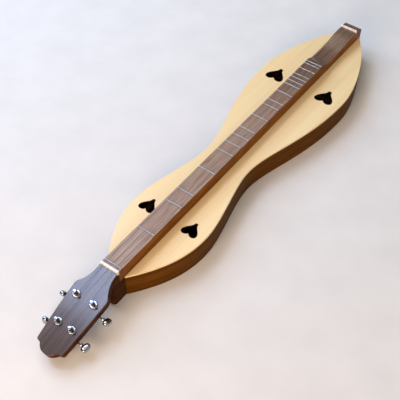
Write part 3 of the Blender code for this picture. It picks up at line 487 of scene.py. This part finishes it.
def softened(cad_node, width, shortest, steps=2):
    """A copy of a CAD node whose longer edges are slightly rounded."""
    shape = joined(cad_node)
    bmesh.ops.dissolve_limit(shape, angle_limit=FLAT, verts=shape.verts, edges=shape.edges)
    edges = [e for e in shape.edges
             if len(e.link_faces) == 2 and e.calc_face_angle(0) > SHARP and e.calc_length() > shortest]
    bmesh.ops.bevel(shape, geom=edges, offset=width, offset_type="OFFSET", segments=steps, profile=0.5,
                    affect="EDGES", clamp_overlap=True, material=-1)
    return shape


def carved_pieces():
    """Fretboard, bone and blocks keep the CAD's cuts and get slightly rounded edges."""
    for name, width, shortest in (("fretboard", 0.35 * MM, 2.0 * MM), ("bridge", 0.3 * MM, 1.0 * MM),
                                  ("head_block", 0.5 * MM, 6.0 * MM), ("tail_block", 0.3 * MM, 2.0 * MM)):
        add_piece(name + "_fine", softened(name, width, shortest), name, sharp=CRISP)


def string_at(name, low, high):
    """The middle and radius of a string between two places along x."""
    near = [v.co for v in frame["nodes"][name].data.vertices if low - MM < v.co.x < high + MM]
    y, z = ([c[i] for c in near] for i in (1, 2))
    return (min(y) + max(y)) / 2, min(z), (max(y) - min(y)) / 2


def nut():
    """The bone nut with eased edges and one narrow round-bottomed slot for each string."""
    low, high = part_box("nut")
    block = [Vector(p) for p in ((low.x, low.y), (high.x, low.y), (high.x, high.y), (low.x, high.y))]
    shape = plate([refined(block, 3)], [edge_profile(low.z, high.z, 0.45 * MM, 0.1 * MM)])
    slots = bmesh.new()
    for name in TUNERS:
        y, foot, radius = string_at("string_" + name, low.x, high.x)
        radius += SLOT_EASE
        middle = foot - SLOT_EASE + radius
        arch = [(radius * math.cos(a), middle + radius * math.sin(a))
                for a in (-math.pi * i / 8 for i in range(9))]
        ends = [[slots.verts.new((x, y + across, height))
                 for across, height in arch + [(-radius, high.z + MM), (radius, high.z + MM)]]
                for x in (low.x - MM, high.x + MM)]
        for end in ends:
            slots.faces.new(end)
        for i in range(len(ends[0])):
            slots.faces.new((ends[0][i - 1], ends[0][i], ends[1][i], ends[1][i - 1]))
    add_piece("nut_fine", pierced(shape, slots), "nut")


def fret(name):
    """Fret wire: a half-round crown with ends dressed back at an angle, and a tang that stops inside the wood."""
    low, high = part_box(name)
    middle, base = (low.x + high.x) / 2, high.z - FRET_CROWN
    half, reach = (high.x - low.x) / 2, (high.y - low.y) / 2
    crown = [(half * math.cos(a), base + FRET_CROWN * math.sin(a)) for a in (math.pi * i / 14 for i in range(15))]
    tang = [(across, height) for across, height in ((FRET_TANG, base + FRET_TANG), (-FRET_TANG, base + FRET_TANG),
                                                    (-FRET_TANG, low.z), (FRET_TANG, low.z))]
    shape = bmesh.new()
    for outline, length, lean in ((crown, reach, FRET_END_ANGLE), (tang, reach - TANG_BACK, 0)):
        ends = []
        for side in (-1, 1):
            ends.append([shape.verts.new((middle + x, side * (length - (z - base) * math.tan(lean)), z))
                         for x, z in outline])
            shape.faces.new(ends[-1])
        for i in range(len(outline)):
            shape.faces.new((ends[0][i - 1], ends[0][i], ends[1][i], ends[1][i - 1]))
    add_piece(name + "_wire", shape, name)


def spun(profile, steps=40):
    """A turned shape about z from (radius, height) points."""
    shape = bmesh.new()
    verts = [shape.verts.new((radius, 0, height)) for radius, height in profile]
    edges = [shape.edges.new(pair) for pair in zip(verts, verts[1:])]
    bmesh.ops.spin(shape, geom=verts + edges, cent=(0, 0, 0), axis=(0, 0, 1), angle=2 * math.pi, steps=steps,
                   use_merge=True)
    bmesh.ops.remove_doubles(shape, verts=shape.verts, dist=JOIN)
    return shape


def circle(radius, steps=40, turn=0.0, clockwise=False):
    sense = -1 if clockwise else 1
    return [Vector((radius * math.cos(a), radius * math.sin(a)))
            for a in (turn + sense * 2 * math.pi * i / steps for i in range(steps))]


def kept_part(cad_node, into, height):
    """The part of a CAD node that lies below a height in another frame."""
    shape = joined(cad_node, into)
    bmesh.ops.bisect_plane(shape, geom=shape.verts[:] + shape.edges[:] + shape.faces[:],
                           plane_co=(0, 0, height), plane_no=(0, 0, 1), clear_outer=True)
    return shape


def add_to(shape, other):
    """Put the other shape's faces into the first."""
    mesh = bpy.data.meshes.new("joining")
    other.to_mesh(mesh)
    other.free()
    shape.from_mesh(mesh)
    bpy.data.meshes.remove(mesh)
    return shape


def pierced(shape, tool):
    """The shape with the tool's shape cut out of it."""
    holders = []
    for name, part in (("pierced", shape), ("piercing", tool)):
        mesh = bpy.data.meshes.new(name)
        bmesh.ops.recalc_face_normals(part, faces=part.faces)
        part.to_mesh(mesh)
        part.free()
        holders.append(bpy.data.objects.new(name, mesh))
        bpy.context.scene.collection.objects.link(holders[-1])
    cut = holders[0].modifiers.new("cut", "BOOLEAN")
    cut.operation, cut.solver, cut.object = "DIFFERENCE", "EXACT", holders[1]
    graph = bpy.context.evaluated_depsgraph_get()
    result = bmesh.new()
    result.from_mesh(holders[0].evaluated_get(graph).to_mesh())
    for holder in holders:
        bpy.data.objects.remove(holder)
    return result


def tuner_post(name, at):
    """The post: a rounded top, an eased waist with the string's hole, and the CAD's wheel below the wood."""
    profile = [(0, POST_TOP)]
    for i in range(6):
        a = math.pi / 2 * i / 5
        profile.append((POST_RADIUS - POST_ROUND * (1 - math.sin(a)), POST_TOP - POST_ROUND * (1 - math.cos(a))))
    for start, way in ((WAIST_HIGH, -1), (WAIST_LOW + WAIST_EASE, 1)):
        for i in range(9):
            share = (1 - math.cos(math.pi * i / 8)) / 2
            narrow = share if way < 0 else 1 - share
            radius = POST_RADIUS - (POST_RADIUS - POST_WAIST) * narrow
            profile.append((radius, start - WAIST_EASE * i / 8))
    profile += [(POST_RADIUS, -HEAD_STACK + 0.5 * MM), (0, -HEAD_STACK + 0.5 * MM)]
    hole = spun([(0, -2 * POST_RADIUS), (STRING_HOLE, -2 * POST_RADIUS), (STRING_HOLE, 2 * POST_RADIUS),
                 (0, 2 * POST_RADIUS)], 16)
    across = Matrix.Translation((0, 0, STRING_HOLE_AT)) @ Matrix.Rotation(math.pi / 2, 4, "Y")
    bmesh.ops.transform(hole, matrix=across, verts=hole.verts)
    shape = add_to(pierced(spun(profile), hole), kept_part("tuner_" + name + "_post", at.inverted(), -HEAD_STACK))
    add_piece("tuner_" + name + "_post_fine", shape, "tuner_" + name + "_post", True, name + "_post", at)


def tuner_bushing(name, at):
    """A domed washer with the sleeve under it, and the hexagon on top with rounded edges."""
    ring = [(BORE, WASHER_HIGH), (WASHER - 1.0 * MM, WASHER_HIGH), (WASHER - 0.4 * MM, WASHER_HIGH - 0.15 * MM),
            (WASHER, WASHER_LOW + 0.3 * MM), (WASHER, WASHER_LOW), (SLEEVE, WASHER_LOW), (SLEEVE, SLEEVE_FOOT),
            (BORE, SLEEVE_FOOT), (BORE, WASHER_HIGH)]
    node_name = "tuner_" + name + "_bushing"
    add_piece(node_name + "_washer", spun(ring), node_name, True, place=at)
    hexagon = circle(HEX_ACROSS / math.sqrt(3), 6)
    profiles = [edge_profile(WASHER_HIGH, HEX_HIGH, 0.35 * MM, 0.05 * MM), edge_profile(
        WASHER_HIGH, HEX_HIGH, 0.3 * MM, 0.05 * MM)]
    hexagon = plate([refined(hexagon, 3), circle(BORE, clockwise=True)], profiles)
    add_piece(node_name + "_hexagon", hexagon, node_name, False, place=at)


def fuller(value, squareness):
    return math.copysign(abs(value) ** squareness, value)


def button_body(steps=56, levels=10):
    """An oval pillow round the shaft's z axis: broad faces to y, a rounded rim, and domed all over."""
    shape = bmesh.new()
    rings = []
    for k in range(1 - levels, levels):
        a = math.pi / 2 * k / levels
        wide = fuller(math.cos(a), BUTTON_SECTION[0])
        y = fuller(math.sin(a), BUTTON_SECTION[1]) * BUTTON_THICK / 2
        rings.append([shape.verts.new((fuller(p.x, BUTTON_FACE) * BUTTON_WIDE / 2 * wide, y,
                                       fuller(p.y, BUTTON_FACE) * BUTTON_LONG / 2 * wide + BUTTON_AT))
                      for p in circle(1.0, steps)])
    for first, second in zip(rings, rings[1:]):
        for i in range(steps):
            shape.faces.new((first[i - 1], first[i], second[i], second[i - 1]))
    for ring, side in ((rings[0], -1), (rings[-1], 1)):
        tip = shape.verts.new((0, side * BUTTON_THICK / 2, BUTTON_AT))
        for i in range(steps):
            shape.faces.new((ring[i - 1], ring[i], tip))
    return shape


def tuner_button(name, side, turn):
    """An oval button on a collared shaft; the worm inside the housing is the CAD's."""
    place = Vector(JOINTS[name + "_button_spin"]["pos_m"])
    at = Matrix.Translation(place) @ HEAD_TURN @ Matrix.Rotation(-side * math.pi / 2, 4, "X")
    shaft = [(SHAFT, SHAFT_CUT), (SHAFT, COLLAR_FROM), (COLLAR - 0.4 * MM, COLLAR_FROM),
             (COLLAR, COLLAR_FROM + 0.4 * MM), (COLLAR, COLLAR_FROM + 1.6 * MM),
             (COLLAR - 0.5 * MM, COLLAR_FROM + 2.2 * MM), (COLLAR - 0.3 * MM, COLLAR_FROM + 3.4 * MM),
             (COLLAR - 0.3 * MM, BUTTON_AT - BUTTON_LONG / 4)]
    shape = add_to(spun(shaft), kept_part("tuner_" + name + "_button", at.inverted(), SHAFT_CUT))
    body = button_body()
    bmesh.ops.transform(body, matrix=Matrix.Rotation(math.radians(turn), 4, "Z"), verts=body.verts)
    add_to(shape, body)
    add_piece("tuner_" + name + "_button_fine", shape, "tuner_" + name + "_button", True, name + "_button", at)


def tuners():
    for name, (side, turn) in TUNERS.items():
        at = Matrix.Translation(Vector(JOINTS[name + "_post_spin"]["pos_m"])) @ HEAD_TURN
        tuner_post(name, at)
        tuner_bushing(name, at)
        tuner_button(name, side, turn)
        housing = "tuner_" + name + "_housing"
        add_piece(housing + "_fine", softened(housing, 0.35 * MM, 1.5 * MM), housing, sharp=CRISP)


def strings():
    for name in TUNERS:
        add_piece("string_" + name + "_fine", joined("string_" + name), "string_" + name, sharp=math.radians(60))


def paper_floor():
    """A wide pale floor: matte paper, faintly mottled."""
    finish, tree, skin = new_finish("studio_paper")
    colour = ramp(tree, noise(tree, (60, 60, 60)), ((0.3, "#E4E4E2"), (0.7, "#EAEAE8")))
    tree.links.new(colour, skin.inputs["Base Color"])
    set_skin(skin, Roughness=0.9)
    bpy.ops.mesh.primitive_plane_add(size=FLOOR_SIZE, location=(0, 0, 0))
    floor = bpy.context.object
    floor.name = "floor"
    floor.data.materials.append(finish)


def area_lamp(name, at, aim, size, watts, colour):
    lamp = bpy.data.lights.new(name, "AREA")
    lamp.shape = "RECTANGLE"
    lamp.size, lamp.size_y = size
    lamp.energy = watts
    lamp.color = colour
    holder = bpy.data.objects.new(name, lamp)
    bpy.context.scene.collection.objects.link(holder)
    holder.location = at
    holder.rotation_euler = (Vector(aim) - Vector(at)).to_track_quat("-Z", "Y").to_euler()


def soft_room():
    """The dim room that shiny pieces mirror, a little lighter near the floor."""
    world = bpy.data.worlds.new("soft_room")
    world.use_nodes = True
    tree = world.node_tree
    where = node(tree, "TexCoord").outputs["Generated"]
    up = node(tree, "SeparateXYZ", {"Vector": where}).outputs["Z"]
    colour = ramp(tree, up, ((0.2, "#756E6A"), (0.5, "#3F3C3A")))
    tree.links.new(colour, tree.nodes["Background"].inputs["Color"])
    bpy.context.scene.world = world


def studio():
    """A window on the bass side, a warm wall in front, a ceiling, a fill, and two sheets that the polish mirrors."""
    area_lamp("window", (0.1, 1.6, 1.5), (-0.05, 0, 0), (1.9, 1.4), 31.5, (0.62, 0.76, 1.0))
    area_lamp("ceiling", (0.1, 0.3, 2.4), (0.1, 0.3, 0), (2.8, 2.4), 16, (1.0, 1.0, 0.98))
    area_lamp("front_wall", (-1.9, -0.3, 0.8), (0, 0, 0), (1.2, 0.8), 35, (1.0, 0.71, 0.5))
    area_lamp("fill", (0.1, -1.9, 1.1), (0, 0, 0), (2.2, 1.0), 5.5, (1.0, 0.82, 0.62))
    area_lamp("fretboard_sheet", (1.15, 1.0, 2.0), (1.15, 1.0, 0), (1.8, 0.6), 8.5, (1.0, 0.88, 0.76))
    area_lamp("headstock_sheet", (-0.47, 0.95, 2.0), (-0.47, 0.95, 0), (0.46, 0.6), 9.5, (0.5, 0.65, 1.0))
    soft_room()


def photograph_camera():
    camera = bpy.data.cameras.new("camera")
    camera.lens = CAMERA_LENS
    camera.sensor_width = SENSOR
    holder = bpy.data.objects.new("camera", camera)
    bpy.context.scene.collection.objects.link(holder)
    right, up = Vector(CAMERA_RIGHT).normalized(), Vector(CAMERA_UP).normalized()
    back = right.cross(up)
    rows = [(right[i], up[i], back[i], CAMERA_AT[i]) for i in range(3)]
    holder.matrix_world = Matrix(rows + [(0, 0, 0, 1)])
    bpy.context.scene.camera = holder


photograph_camera()
dress_cad_nodes()
soundbox()
headstock()
carved_pieces()
nut()
for wire in FRETS:
    fret(wire)
tuners()
strings()
paper_floor()
studio()
bpy.context.scene.view_settings.view_transform = "Standard"
